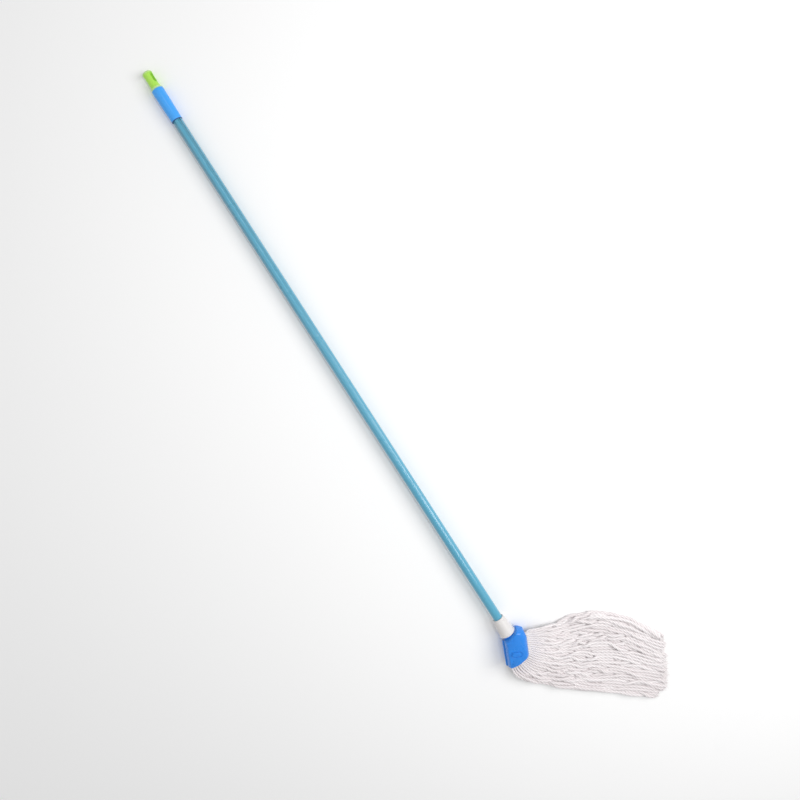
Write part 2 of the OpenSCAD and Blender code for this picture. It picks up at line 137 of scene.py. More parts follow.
# %% A helper that makes a group, and the grain of moulded plastic
def new_group(name, inputs, outputs):
    """An empty shader group. inputs and outputs are lists of (name, socket type, value)."""
    group = bpy.data.node_groups.new(name, "ShaderNodeTree")
    for way, sockets in (("INPUT", inputs), ("OUTPUT", outputs)):
        for label, kind, value in sockets:
            socket = group.interface.new_socket(label, in_out=way, socket_type=kind)
            if value is not None:
                socket.default_value = value
    return group, group.nodes.new("NodeGroupInput"), group.nodes.new("NodeGroupOutput")


def add(tree, kind, **settings):
    """One node, with its settings, and with values for the inputs that are named in_Name."""
    node = tree.nodes.new(kind)
    for key, value in settings.items():
        if key.startswith("in_"):
            node.inputs[key[3:].replace("_", " ")].default_value = value
        else:
            setattr(node, key, value)
    return node


def mix_colours(tree, factor, first, second):
    """The colour between two sockets or colours, by a factor socket."""
    node = add(tree, "ShaderNodeMix", data_type="RGBA")
    tree.links.new(factor, node.inputs["Factor"])
    for slot, value in ((6, first), (7, second)):
        if isinstance(value, bpy.types.NodeSocket):
            tree.links.new(value, node.inputs[slot])
        else:
            node.inputs[slot].default_value = value
    return node.outputs[2]


def calculate(tree, operation, first, second):
    """One sum of two numbers or sockets."""
    node = add(tree, "ShaderNodeMath", operation=operation)
    for slot, value in enumerate((first, second)):
        if isinstance(value, bpy.types.NodeSocket):
            tree.links.new(value, node.inputs[slot])
        else:
            node.inputs[slot].default_value = value
    return node.outputs[0]


COLOUR, NUMBER, VECTOR = "NodeSocketColor", "NodeSocketFloat", "NodeSocketVector"
grain, grain_in, grain_out = new_group(
    "moulded_grain",
    [("Vector", VECTOR, None), ("Colour", COLOUR, (0.5, 0.5, 0.5, 1)),
     ("Deep Colour", COLOUR, (0.3, 0.3, 0.3, 1)), ("Grain Size", NUMBER, 900.0),
     ("Roughness", NUMBER, 0.4)],
    [("Colour", COLOUR, None), ("Roughness", NUMBER, None), ("Height", NUMBER, None)])
mottle = add(grain, "ShaderNodeTexNoise", in_Scale=38.0, in_Detail=3.0)
fine = add(grain, "ShaderNodeTexNoise", in_Detail=2.0)
grain.links.new(grain_in.outputs["Vector"], mottle.inputs["Vector"])
grain.links.new(grain_in.outputs["Vector"], fine.inputs["Vector"])
grain.links.new(grain_in.outputs["Grain Size"], fine.inputs["Scale"])
soft = calculate(grain, "MULTIPLY", mottle.outputs["Fac"], 0.45)
grain.links.new(mix_colours(grain, soft, grain_in.outputs["Colour"], grain_in.outputs["Deep Colour"]),
                grain_out.inputs["Colour"])
swing = calculate(grain, "MULTIPLY", calculate(grain, "SUBTRACT", mottle.outputs["Fac"], 0.5), 0.25)
grain.links.new(calculate(grain, "ADD", grain_in.outputs["Roughness"], swing),
                grain_out.inputs["Roughness"])
grain.links.new(fine.outputs["Fac"], grain_out.inputs["Height"])
print("group", grain.name, [s.name for s in grain.interface.items_tree])

# %% Hairline rubbing
rubbing, rub_in, rub_out = new_group(
    "hairline_rubbing",
    [("Vector", VECTOR, None), ("Amount", NUMBER, 0.3)],
    [("Mask", NUMBER, None)])
lines = add(rubbing, "ShaderNodeMapping")
lines.inputs["Scale"].default_value = (9, 420, 420)
threads = add(rubbing, "ShaderNodeTexNoise", in_Scale=1.0, in_Detail=4.0, in_Roughness=0.65)
patches = add(rubbing, "ShaderNodeTexNoise", in_Scale=14.0, in_Detail=2.0)
rubbing.links.new(rub_in.outputs["Vector"], lines.inputs["Vector"])
rubbing.links.new(lines.outputs["Vector"], threads.inputs["Vector"])
rubbing.links.new(rub_in.outputs["Vector"], patches.inputs["Vector"])
sharp = add(rubbing, "ShaderNodeMapRange", in_From_Min=0.58, in_From_Max=0.72)
where = add(rubbing, "ShaderNodeMapRange", in_From_Min=0.42, in_From_Max=0.66)
rubbing.links.new(threads.outputs["Fac"], sharp.inputs["Value"])
rubbing.links.new(patches.outputs["Fac"], where.inputs["Value"])
rubbed = calculate(rubbing, "MULTIPLY", sharp.outputs["Result"], where.outputs["Result"])
rubbing.links.new(calculate(rubbing, "MULTIPLY", rubbed, rub_in.outputs["Amount"]), rub_out.inputs["Mask"])
print("group", rubbing.name)

# %% The lie of cotton fibres
fibres, fibre_in, fibre_out = new_group(
    "cotton_fibres",
    [("Vector", VECTOR, None), ("Length Scale", NUMBER, 120.0), ("Across Scale", NUMBER, 900.0)],
    [("Fibre", NUMBER, None), ("Fluff", NUMBER, None)])
stretch = add(fibres, "ShaderNodeMapping")
sizes = add(fibres, "ShaderNodeCombineXYZ")
hair = add(fibres, "ShaderNodeTexNoise", in_Scale=1.0, in_Detail=5.0, in_Roughness=0.7)
clump = add(fibres, "ShaderNodeTexNoise", in_Scale=0.22, in_Detail=2.0)
for name, slot in (("Length Scale", "X"), ("Across Scale", "Y"), ("Across Scale", "Z")):
    fibres.links.new(fibre_in.outputs[name], sizes.inputs[slot])
fibres.links.new(fibre_in.outputs["Vector"], stretch.inputs["Vector"])
fibres.links.new(sizes.outputs["Vector"], stretch.inputs["Scale"])
for texture, label in ((hair, "Fibre"), (clump, "Fluff")):
    fibres.links.new(stretch.outputs["Vector"], texture.inputs["Vector"])
    fibres.links.new(texture.outputs["Fac"], fibre_out.inputs[label])
print("group", fibres.name)

# %% [markdown]
# ## Finishes
# Each plastic is the same recipe with its own colours: mottled colour, a moulded grain as a small
# bump, and pale hairlines where it has been rubbed. The tube has a coat, because its paint is
# baked glossy over steel. Steel is plain metal with rubbed lines. The cap's colour pales near its
# tip and its base: a painted highlight, for the light that its two edges catch. Numbers that are
# the same all over, such as the coat, sit on the shader itself.

# %% Plastic, paint and steel
def grouped(tree, group, **values):
    """A group node, with values for its inputs."""
    node = tree.nodes.new("ShaderNodeGroup")
    node.node_tree = group
    for key, value in values.items():
        node.inputs[key.replace("_", " ")].default_value = value
    return node


# How near, and how strongly, the painted highlight pales the colour at the cap's tip and base.
RIM_FADE, RIM_FULL, RIM_HIGHLIGHT = 0.0035, 0.001, 0.6


def moulded(name, colour, deep, rough, size=900.0, bump=0.05, wear=0.25, coat=0.0, metal=0.0,
            highlight_rims=()):
    """A moulded or painted finish on Object coordinates. highlight_rims are places along X, in
    metres, round which the colour pales as a painted highlight."""
    material, tree, shader = new_material(name)
    place = add(tree, "ShaderNodeTexCoord").outputs["Object"]
    skin = grouped(tree, grain, Colour=(*colour, 1), Deep_Colour=(*deep, 1), Grain_Size=size,
                   Roughness=rough)
    worn = grouped(tree, rubbing, Amount=wear)
    tree.links.new(place, skin.inputs["Vector"])
    tree.links.new(place, worn.inputs["Vector"])
    # This pale colour serves both the rubbed hairlines and the painted highlight at the cap's ends.
    pale = tuple(0.55 * c + 0.4 for c in colour)
    body = mix_colours(tree, worn.outputs["Mask"], skin.outputs["Colour"], (*pale, 1))
    # Painted highlight: near each of these places the colour pales, as where light catches an edge.
    for highlight_rim in highlight_rims:
        along = add(tree, "ShaderNodeSeparateXYZ")
        tree.links.new(place, along.inputs["Vector"])
        beyond = calculate(tree, "SUBTRACT", along.outputs["X"], highlight_rim)
        away = calculate(tree, "ABSOLUTE", beyond, 0.0)
        near = add(tree, "ShaderNodeMapRange", in_From_Min=RIM_FADE, in_From_Max=RIM_FULL,
                   in_To_Max=RIM_HIGHLIGHT)
        tree.links.new(away, near.inputs["Value"])
        body = mix_colours(tree, near.outputs["Result"], body, (*pale, 1))
    tree.links.new(body, shader.inputs["Base Color"])
    tree.links.new(calculate(tree, "ADD", skin.outputs["Roughness"], worn.outputs["Mask"]),
                   shader.inputs["Roughness"])
    relief = add(tree, "ShaderNodeBump", in_Strength=bump, in_Distance=0.0004)
    tree.links.new(skin.outputs["Height"], relief.inputs["Height"])
    tree.links.new(relief.outputs["Normal"], shader.inputs["Normal"])
    shader.inputs["Metallic"].default_value = metal
    shader.inputs["Coat Weight"].default_value = coat
    shader.inputs["Coat Roughness"].default_value = 0.12
    return material


# The cap's tip and base, where its colour pales to a painted highlight.
CAP_HIGHLIGHT_RIMS = (-1.3215, -1.2895)
tube_paint = moulded("tube_paint", (0.085, 0.37, 0.53), (0.062, 0.30, 0.45), 0.3, size=260.0,
                     bump=0.02, wear=0.05, coat=0.8)
grip_plastic = moulded("grip_plastic", (0.055, 0.38, 0.92), (0.04, 0.31, 0.84), 0.38,
                       size=1100.0, bump=0.08)
lime_plastic = moulded("lime_plastic", (0.44, 0.80, 0.10), (0.36, 0.71, 0.08), 0.33,
                       highlight_rims=CAP_HIGHLIGHT_RIMS)
blue_plastic = moulded("blue_plastic", (0.022, 0.25, 0.80), (0.014, 0.16, 0.62), 0.3, bump=0.06)
white_plastic = moulded("white_plastic", (0.72, 0.70, 0.69), (0.63, 0.60, 0.59), 0.4, wear=0.1)
# This blue is so dark as painted shade: it stands for the shadow line where the grip ends.
painted_shade_blue = moulded("painted_shade_blue_plastic", (0.01, 0.07, 0.25), (0.006, 0.05, 0.18), 0.4)
bare_steel = moulded("bare_steel", (0.60, 0.60, 0.61), (0.48, 0.48, 0.49), 0.28, wear=0.2,
                     metal=1.0)
print("finishes:", [m.name for m in bpy.data.materials])

# %% [markdown]
# Cotton is matt, faintly pink-white and fuzzy. On the yarn the pattern follows the strand: its
# own UV map runs along and round it, and two attributes of the mesh say how deep a point lies in
# the hollow between two plies, where the colour is darkened as painted shade, and how bright this
# strand is. The tape is a plain weave, made of two sets of waves at right angles in the clip's own
# directions.

# %% Cotton yarn and woven tape
def cotton_yarn():
    """The twisted yarn's finish."""
    material, tree, shader = new_material("cotton_yarn")
    along = add(tree, "ShaderNodeUVMap", uv_map="strand").outputs["UV"]
    groove_shade = add(tree, "ShaderNodeAttribute", attribute_name="groove_shade").outputs["Fac"]
    tone = add(tree, "ShaderNodeAttribute", attribute_name="tone").outputs["Fac"]
    lint = grouped(tree, fibres, Length_Scale=230.0, Across_Scale=34.0)
    tree.links.new(along, lint.inputs["Vector"])
    body = mix_colours(tree, tone, (0.87, 0.82, 0.83, 1), (0.96, 0.925, 0.935, 1))
    # Painted shade: the colour darkens towards a grey deep in the hollows between plies.
    shade = calculate(tree, "MULTIPLY", groove_shade, 0.55)
    body = mix_colours(tree, shade, body, (0.52, 0.46, 0.465, 1))
    speck = calculate(tree, "MULTIPLY", lint.outputs["Fibre"], 0.22)
    body = mix_colours(tree, speck, body, (0.70, 0.64, 0.63, 1))
    tree.links.new(body, shader.inputs["Base Color"])
    fluff = calculate(tree, "MULTIPLY", lint.outputs["Fluff"], 0.6)
    height = calculate(tree, "ADD", lint.outputs["Fibre"], fluff)
    relief = add(tree, "ShaderNodeBump", in_Strength=0.45, in_Distance=0.0005)
    tree.links.new(height, relief.inputs["Height"])
    tree.links.new(relief.outputs["Normal"], shader.inputs["Normal"])
    shader.inputs["Roughness"].default_value = 0.92
    shader.inputs["Specular IOR Level"].default_value = 0.2
    shader.inputs["Sheen Weight"].default_value = 0.35
    shader.inputs["Sheen Roughness"].default_value = 0.5
    return material


def woven_tape(turn_degrees):
    """A plain weave of cotton tape, lined up with the clip's spine."""
    material, tree, shader = new_material("cotton_tape")
    place = add(tree, "ShaderNodeTexCoord").outputs["Object"]
    turned = add(tree, "ShaderNodeMapping")
    turned.inputs["Rotation"].default_value = (0, 0, math.radians(turn_degrees))
    tree.links.new(place, turned.inputs["Vector"])
    heights = []
    for way in "XYZ":
        wave = add(tree, "ShaderNodeTexWave", bands_direction=way, in_Scale=190.0, in_Distortion=0.6)
        tree.links.new(turned.outputs["Vector"], wave.inputs["Vector"])
        heights.append(wave.outputs["Fac"])
    weave = calculate(tree, "MULTIPLY", calculate(tree, "ADD", heights[0], heights[1]), 0.5)
    weave = calculate(tree, "MAXIMUM", weave, heights[2])
    tree.links.new(mix_colours(tree, weave, (0.62, 0.57, 0.56, 1), (0.86, 0.82, 0.81, 1)),
                   shader.inputs["Base Color"])
    relief = add(tree, "ShaderNodeBump", in_Strength=0.5, in_Distance=0.0004)
    tree.links.new(weave, relief.inputs["Height"])
    tree.links.new(relief.outputs["Normal"], shader.inputs["Normal"])
    shader.inputs["Roughness"].default_value = 0.9
    return material


CLIP_ANGLE = 22
yarn_cotton = cotton_yarn()
tape_cotton = woven_tape(CLIP_ANGLE)
print("cotton:", yarn_cotton.name, tape_cotton.name)

# %% [markdown]
# ## The yarn's route
# The refill's strands leave a stitched tape inside the mouth, fan out and sweep over the floor to
# a slanting line of cut ends. The same flow as in the CAD source is written again here: t goes
# across the mouth, from 0 at the spine's end to 1 at the nut's end, and s goes along the yarn,
# from 0 at the tape to 1 at the cut ends. Heights are the top and the bottom of the heap.

# %% The flow, in millimetres
CLIP_X0, CLIP_X1, CLIP_Y0, CLIP_Y1 = -11.5, 73.5, -10.3, 36.7
BASE_X = 30
YARN_LEN, YARN_ANGLE, YARN_SPREAD, CUT_SLANT, CUT_STEP = 310, 47.7, 143, 19.1, 26
YARN_HIGH, TIP_HIGH = 30, 15
BAND_LOW, BAND_HIGH = 14.6, 27.4
ROOT_DEPTH = 1.5
BAND_LINE = [(CLIP_X1 - 7, CLIP_Y0 + 9), (CLIP_X1 - 11, CLIP_Y0 + 24), (CLIP_X1 - 27, CLIP_Y1 - 9.5),
             (CLIP_X0 + 27, CLIP_Y1 - 9), (CLIP_X0 + 15, CLIP_Y1 - 10)]
BAND_BENDS = [0, 14, 16, 12, 0]
# How long and how turned the curve's arms are, at the tape and at the cut ends. Each pair holds
# the values at the two sides of the mouth.
LEAD, LEAD_TURN, FAN = (0.264, 0.4), (-24, 98), 0.7
TRAIL, TRAIL_TURN = (0.4, 0.54), (0.6, 23.4)


def mix(a, b, w):
    """The value between a and b at the share w of the way."""
    return a + (b - a) * w


def smooth(x):
    """An even rise from 0 to 1 with soft ends."""
    c = np.clip(x, 0, 1)
    return c * c * (3 - 2 * c)


def heading(degrees):
    """Unit vectors on the floor plan."""
    a = np.radians(degrees)
    return np.stack([np.cos(a), np.sin(a)], axis=-1)


def on_plan(p):
    """Points of the clip's own frame on the floor plan."""
    a = math.radians(CLIP_ANGLE)
    p = np.asarray(p, float)
    return np.stack([p[..., 0] * math.cos(a) + p[..., 1] * math.sin(a) - BASE_X,
                     p[..., 1] * math.cos(a) - p[..., 0] * math.sin(a)], axis=-1)


def rounded_line(points, radii, steps=6):
    """A line with its inner corners rounded."""
    points = [np.array(p, float) for p in points]
    out = [points[0]]
    for i in range(1, len(points) - 1):
        u, v = points[i - 1] - points[i], points[i + 1] - points[i]
        u, v = u / np.linalg.norm(u), v / np.linalg.norm(v)
        half = math.acos(float(u @ v)) / 2
        middle_way = (u + v) / np.linalg.norm(u + v)
        centre = points[i] + middle_way * radii[i] / math.sin(half)
        first, last = (points[i] + w * radii[i] / math.tan(half) - centre for w in (u, v))
        for k in range(steps + 1):
            d = mix(first, last, k / steps)
            out.append(centre + d / np.linalg.norm(d) * radii[i])
    return np.array(out + [points[-1]])


def distances(line):
    """How far along a line each of its points lies."""
    return np.concatenate([[0], np.cumsum(np.linalg.norm(np.diff(line, axis=0), axis=1))])


def beside(line, d):
    """A line moved to the left of its own direction."""
    way = np.diff(line, axis=0)
    way /= np.linalg.norm(way, axis=1)[:, None]
    left = np.stack([-way[:, 1], way[:, 0]], axis=1)
    a, b = np.vstack([left[:1], left]), np.vstack([left, left[-1:]])
    return line + d * (a + b) / (1 + (a * b).sum(1))[:, None]


root_line = beside(rounded_line(BAND_LINE, BAND_BENDS), ROOT_DEPTH)
root_at = distances(root_line)
ROOT_LONG = root_at[-1]


def flow(t, s):
    """The floor plan of the yarn, in mm."""
    want = np.clip(t, 0, 1) * ROOT_LONG
    root = np.stack([np.interp(want, root_at, root_line[:, k]) for k in (0, 1)], axis=-1)
    start = on_plan(root)
    mouth = on_plan((CLIP_X1 - 33, CLIP_Y1 - 5))
    far = YARN_LEN - CUT_STEP * (1 - smooth(t / 0.16))
    end = mouth + far[..., None] * heading(YARN_ANGLE) \
        + YARN_SPREAD * (0.5 - t)[..., None] * heading(YARN_ANGLE - 90 + CUT_SLANT)
    fan = np.clip(t, 0, 1) ** FAN
    lead = YARN_LEN * mix(*LEAD, t)[..., None] * heading(mix(*LEAD_TURN, fan) - CLIP_ANGLE)
    trail = YARN_LEN * mix(*TRAIL, t)[..., None] * heading(YARN_ANGLE - mix(*TRAIL_TURN, t))
    s = s[..., None]
    return start * (1 - s) ** 3 + 3 * (start + lead) * s * (1 - s) ** 2 \
        + 3 * (end - trail) * s * s * (1 - s) + end * s ** 3


def heap_top(t, s):
    """The height of the heap's upper surface, in mm."""
    full = YARN_HIGH * (1 - 0.3 * (2 * t - 1) ** 2)
    swell = mix(BAND_HIGH - 0.4, full, smooth((s - 0.08) / 0.3))
    return swell - (full - TIP_HIGH) * smooth((s - 0.4) / 0.6)


def heap_bottom(s):
    """The height under the heap, in mm: the tape's underside, then the floor."""
    return mix(BAND_LOW + 0.4, 0, smooth((s - 0.08) / 0.27))


print("tape length, mm:", round(float(ROOT_LONG), 1))

# %% [markdown]
# ## Laying the strands
# Sixty-six strands lie in three layers. Each starts on its own smooth route with its own slow
# waves, and then all of them settle together: their lengths stay fixed, they push each other
# apart where they would cross, gravity presses them onto the floor and onto each other, and a
# weak pull keeps each near its route. Near the tape they are squeezed thin, as stitching does,
# and both edges of the heap are gathered inwards where it fans out. The random waves come from
# one seeded generator, so every run lays the same heap.

# %% Start the strands on their routes
COLUMNS, LAYERS, STATIONS = 22, 3, 60
STRANDS = COLUMNS * LAYERS
STRAND_R, ROOT_R = 3.6, 1.95
STAGGER = 0.33
REACH, REACH_SPREAD = 0.985, 0.022
NOTCH, NOTCH_AT, NOTCH_WIDE = 0.05, 0.12, 0.03
chance = np.random.default_rng(629)

layer = np.tile(np.arange(LAYERS), COLUMNS)
column = np.repeat(np.arange(COLUMNS), LAYERS)
share = (column + 0.5 + STAGGER * (layer - 1)) / COLUMNS
reach = REACH - REACH_SPREAD * chance.random(STRANDS)
reach -= NOTCH * np.exp(-((share - NOTCH_AT) / NOTCH_WIDE) ** 2)
stations = np.linspace(0, 1, STATIONS)[None, :] * reach[:, None]


def strand_radius(s):
    """A strand's radius in mm, thin where the stitching squeezes it."""
    return mix(ROOT_R, STRAND_R, smooth((s - 0.01) / 0.2))


radius = strand_radius(stations)
LANE_WANDER, LANE_EDGE, LEVEL_WANDER = 0.062, 0.024, 0.7
GATHER_LOW, GATHER_HIGH = (0.10, 0.38, 0.13), (0.14, 0.22, 0.17)


def waves(size, longest, shortest):
    """A slow wander along each strand, as a sum of three seeded sines, nothing at the tape."""
    total = np.zeros((STRANDS, STATIONS))
    for length in np.geomspace(longest, shortest, 3):
        phase = chance.random((STRANDS, 1)) * 2 * math.pi
        turns = YARN_LEN / length * (0.8 + 0.4 * chance.random((STRANDS, 1)))
        total += np.sin(phase + turns * 2 * math.pi * stations) * (0.5 + chance.random((STRANDS, 1)))
    return size * total / 3 * smooth((stations - 0.05) / 0.2)


lane = share[:, None] + waves(LANE_WANDER, 260, 110)
lane = np.clip(lane, LANE_EDGE, 1 - LANE_EDGE)
gathers = [1 - most * np.exp(-((stations - at) / wide) ** 2)
           for most, at, wide in (GATHER_LOW, GATHER_HIGH)]
gathered = mix(gathers[0], gathers[1], smooth((lane - 0.3) / 0.4))
lane = 0.5 + (lane - 0.5) * gathered
level = np.clip((layer[:, None] + 0.5) / LAYERS + waves(LEVEL_WANDER, 210, 90), 0.02, 0.98)
plan = flow(lane, stations)
low, high = heap_bottom(stations) + radius, heap_top(lane, stations) - radius
rise = mix(low, np.maximum(high, low), level)
goal = np.concatenate([plan, rise[..., None]], axis=-1)
print("strands:", STRANDS, "heap top, mm:", round(float(rise.max()), 1))

# %% Settle the heap
ROUNDS, LOOK_AGAIN = 150, 10         # rounds, and how often near strands are found again
PULL_EDGE, PULL_MIDDLE = 0.22, 0.03  # how strongly the outer and inner strands keep to a route
FALL, STRAIGHTEN = 0.35, 0.3         # mm down in each round, and the share of a bend taken out
PUSH, CROWD, TOUCH = 0.42, 0.45, 0.99  # the push between strands, its easing in a crowd, its reach
TIE, TIE_ROUNDS = 0.8, 3             # how firmly a strand keeps its length
HELD, BLOCK = 0.035, 660             # the share fixed in the tape, and stations per comparison


def neighbours(points, sizes, margin):
    """Pairs of stations on different strands that could touch."""
    flat = points.reshape(-1, 3).astype(np.float32)
    who = np.repeat(np.arange(STRANDS), STATIONS)
    first, second = [], []
    square = (flat ** 2).sum(1)
    limit = (2 * sizes.max() + margin) ** 2
    for begin in range(0, len(flat), BLOCK):
        part = slice(begin, begin + BLOCK)
        gap = square[part, None] + square[None] - 2 * flat[part] @ flat.T
        a, b = np.nonzero(gap < limit)
        a = a + begin
        keep = who[a] < who[b]
        first.append(a[keep])
        second.append(b[keep])
    return np.concatenate(first), np.concatenate(second)


place = goal.copy()
rest_long = np.linalg.norm(np.diff(goal, axis=1), axis=2)
held = stations < HELD
sizes = radius.reshape(-1)
edge = np.minimum(lane, 1 - lane) - (1 - gathered) / 2
pull = mix(PULL_EDGE, PULL_MIDDLE, smooth((edge - 0.03) / 0.06))[..., None]
for step in range(ROUNDS):
    if step % LOOK_AGAIN == 0:
        one, two = neighbours(place, radius, 3.0)
    place[..., :2] += pull * (goal[..., :2] - place[..., :2])
    place[..., 2] -= FALL
    place[:, 1:-1] += STRAIGHTEN * ((place[:, :-2] + place[:, 2:]) / 2 - place[:, 1:-1])
    flat = place.reshape(-1, 3)
    apart = flat[one] - flat[two]
    gap = np.linalg.norm(apart, axis=1) + 1e-6
    push = np.clip((sizes[one] + sizes[two]) * TOUCH - gap, 0, None)
    shift = apart * (push / gap * PUSH)[:, None]
    touching = push > 0
    count = np.bincount(np.concatenate([one[touching], two[touching]]), minlength=len(flat))
    ease = 1 / np.maximum(1, count * CROWD)
    for k in range(3):
        gain = np.bincount(one, shift[:, k], len(flat)) - np.bincount(two, shift[:, k], len(flat))
        flat[:, k] += ease * gain
    place = flat.reshape(place.shape)
    for _ in range(TIE_ROUNDS):
        link = np.diff(place, axis=1)
        long = np.linalg.norm(link, axis=2) + 1e-9
        fix = link * ((long - rest_long) / long * 0.5)[..., None]
        place[:, :-1] += fix * TIE
        place[:, 1:] -= fix * TIE
    place[..., 2] = np.clip(place[..., 2], low, np.maximum(high, low + 0.01))
    place[held] = goal[held]
flat = place.reshape(-1, 3)
settled = np.linalg.norm(flat[one] - flat[two], axis=1)
deep = np.clip(sizes[one] + sizes[two] - settled, 0, None)
print("settled; overlaps deeper than 1.5 mm:", int((deep > 1.5).sum()), "of", len(one),
      "top", round(float(place[..., 2].max() + STRAND_R), 1))

# %% [markdown]
# ## Spinning the yarn
# A strand is four plies twisted together. Its mesh is a tube whose ring has four lobes, and each
# ring is turned a little further than the one before, so the grooves between plies wind round it
# as real geometry. The last few millimetres open up, because nothing binds the plies there.
# The rings follow the settled route, with frames carried along it so that the tube never twists
# where it bends. UVs run along and round the strand.

# %% Build a strand's mesh
PLIES, ARC = 4, 4
AROUND = PLIES * ARC
RINGS = 210
LAY = 36.0
LOOSE_END, LOOSE_SWELL, LOOSE_OPEN = 9, 0.10, 1.3
TIP_OUT, TIP_THIN, TIP_DOME = 1.4, 0.72, 0.6
TONE_SHIFT = 3.7
lobe = np.tile([0.74, 0.95, 1.0, 0.95], PLIES)
# How much painted shade each point of a ring gets: most in the hollow between two plies.
groove_shade_depth = np.tile([1.0, 0.25, 0.0, 0.25], PLIES)


def fair_route(points):
    """Many evenly spaced points on a smooth curve through the settled stations."""
    padded = np.vstack([2 * points[0] - points[1], points, 2 * points[-1] - points[-2]])
    fine = []
    for i in range(len(points) - 1):
        a, b, c, d = padded[i:i + 4]
        for w in np.linspace(0, 1, 6, endpoint=False):
            fine.append(0.5 * (2 * b + (c - a) * w + (2 * a - 5 * b + 4 * c - d) * w * w
                               + (3 * b - a - 3 * c + d) * w ** 3))
    fine = np.array(fine + [points[-1]])
    at = distances(fine)
    want = np.linspace(0, at[-1], RINGS)
    return np.stack([np.interp(want, at, fine[:, k]) for k in range(3)], axis=1), at[-1]


def carried_frames(route):
    """For each point, two unit vectors square to the route, carried along without spinning."""
    way = np.gradient(route, axis=0)
    way /= np.linalg.norm(way, axis=1)[:, None]
    across = np.cross(way[0], (0, 0, 1.0))
    across /= np.linalg.norm(across)
    sides = []
    for w in way:
        across = across - w * (across @ w)
        across /= np.linalg.norm(across)
        sides.append(across)
    sides = np.array(sides)
    return sides, np.cross(way, sides), way


def strand_points(route, at, first_turn):
    """The lobed rings of a strand, a smaller one past its end, and a middle for each end."""
    across, upward, way = carried_frames(route)
    loose = smooth((at - (at[-1] - LOOSE_END)) / LOOSE_END)
    thick = strand_radius(at / at[-1]) * (1 + LOOSE_SWELL * loose)
    turn = first_turn + at / LAY * 2 * math.pi
    angle = turn[:, None] + np.arange(AROUND)[None] * 2 * math.pi / AROUND
    lobes = 1 - (1 - lobe)[None] * (1 + LOOSE_OPEN * loose[:, None])
    r = thick[:, None] * lobes
    rings = route[:, None] + r[..., None] * (np.cos(angle)[..., None] * across[:, None]
                                             + np.sin(angle)[..., None] * upward[:, None])
    tip = route[-1] + way[-1] * TIP_OUT + TIP_THIN * (rings[-1] - route[-1])
    rings = np.vstack([rings, tip[None]])
    middles = np.vstack([route[:1], route[-1:] + way[-1:] * TIP_DOME])
    return np.vstack([rings.reshape(-1, 3), middles]) * MM


def tube_faces(total):
    """The quads between the rings, and the triangles that close both ends."""
    i, k = np.meshgrid(np.arange(total - 1), np.arange(AROUND), indexing="ij")
    after = (k + 1) % AROUND
    here, beyond = i * AROUND, (i + 1) * AROUND
    sides = np.stack([here + k, here + after, beyond + after, beyond + k], -1).reshape(-1, 4)
    k = np.arange(AROUND)
    after = (k + 1) % AROUND
    last = (total - 1) * AROUND
    near = np.stack([np.full(AROUND, total * AROUND), after, k], -1)
    far = np.stack([np.full(AROUND, total * AROUND + 1), last + k, last + after], -1)
    return sides.tolist(), near.tolist() + far.tolist()


ALL_RINGS = RINGS + 1
quads, end_faces = tube_faces(ALL_RINGS)
print("faces in a strand:", len(quads) + len(end_faces))

# %% Its UV map, its attributes and its object
def unroll(mesh, at, tone):
    """UVs in metres along the strand and once round it. The last quads of a ring wrap past 1."""
    uv = mesh.uv_layers.new(name="strand")
    loops = np.empty(len(mesh.loops), int)
    mesh.loops.foreach_get("vertex_index", loops)
    along = np.append(at, at[-1] + TIP_OUT) * MM
    u = np.concatenate([np.repeat(along, AROUND), [0, along[-1]]])
    v = np.concatenate([np.tile(np.arange(AROUND) / AROUND, ALL_RINGS), [0.5, 0.5]])
    pairs = np.stack([u[loops], v[loops]], -1)
    first = len(quads) * 4
    corners = pairs[:first].reshape(-1, 4, 2)
    wraps = corners[:, :, 1].max(1) - corners[:, :, 1].min(1) > 0.5
    round_again = corners[wraps, :, 1]
    corners[wraps, :, 1] = np.where(round_again < 0.5, round_again + 1, round_again)
    pairs[:first] = corners.reshape(-1, 2)
    pairs += (tone * TONE_SHIFT, 0)
    uv.data.foreach_set("uv", pairs.astype(np.float32).reshape(-1))


def spin_strand(name, points, tone, first_turn):
    """One strand as a closed mesh. Returns its object, ring centres in metres and length in mm."""
    route, long = fair_route(points)
    at = np.linspace(0, long, RINGS)
    corners = strand_points(route, at, first_turn)
    mesh = bpy.data.meshes.new(name)
    mesh.from_pydata(corners.tolist(), [], quads + end_faces)
    obj = bpy.data.objects.new(name, mesh)
    bpy.context.scene.collection.objects.link(obj)
    unroll(mesh, at, tone)
    # The painted shade of the hollows between plies, and of the middles of both ends.
    for label, values in (("groove_shade", np.concatenate([np.tile(groove_shade_depth, ALL_RINGS), [0.6, 0.8]])),
                          ("tone", np.full(len(corners), tone))):
        attribute = mesh.attributes.new(label, "FLOAT", "POINT")
        attribute.data.foreach_set("value", values.astype(np.float32))
    mesh.polygons.foreach_set("use_smooth", np.ones(len(mesh.polygons), bool))
    mesh.materials.append(yarn_cotton)
    return obj, route * MM, long


# %% Spin all the strands and hang each on the clip's body, in place of the CAD bundles
made = []
for n in range(STRANDS):
    strand, centres, long = spin_strand(f"yarn_strand_{n + 1:02d}", place[n], float(chance.random()),
                                        float(chance.random() * 2 * math.pi))
    bundle = min(10, int(share[n] * 10) + 1)
    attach(strand, "clip_base")
    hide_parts(f"yarn_bundle_{bundle}")
    made.append((float(np.linalg.norm(centres[-1] - centres[0])), strand, centres, long))
made.sort(key=lambda row: -row[0])
print("strands:", len(made), "lengths, m:", round(min(row[3] for row in made) * MM, 3), "to",
      round(max(row[3] for row in made) * MM, 3))

# %% [markdown]
# ## The moulded pieces
# The CAD shapes are exact, but a real moulding has no razor edges. Each visible hard piece is a
# finished copy of its CAD mesh: its loose triangles are joined, flat faces made whole, edges
# rounded with a Bevel modifier by a few tenths of a millimetre, and curved faces smoothed. Both
# ends of the tube are hidden, so its edges stay as they are. Small inner pieces keep their CAD
# mesh and only get their finish.

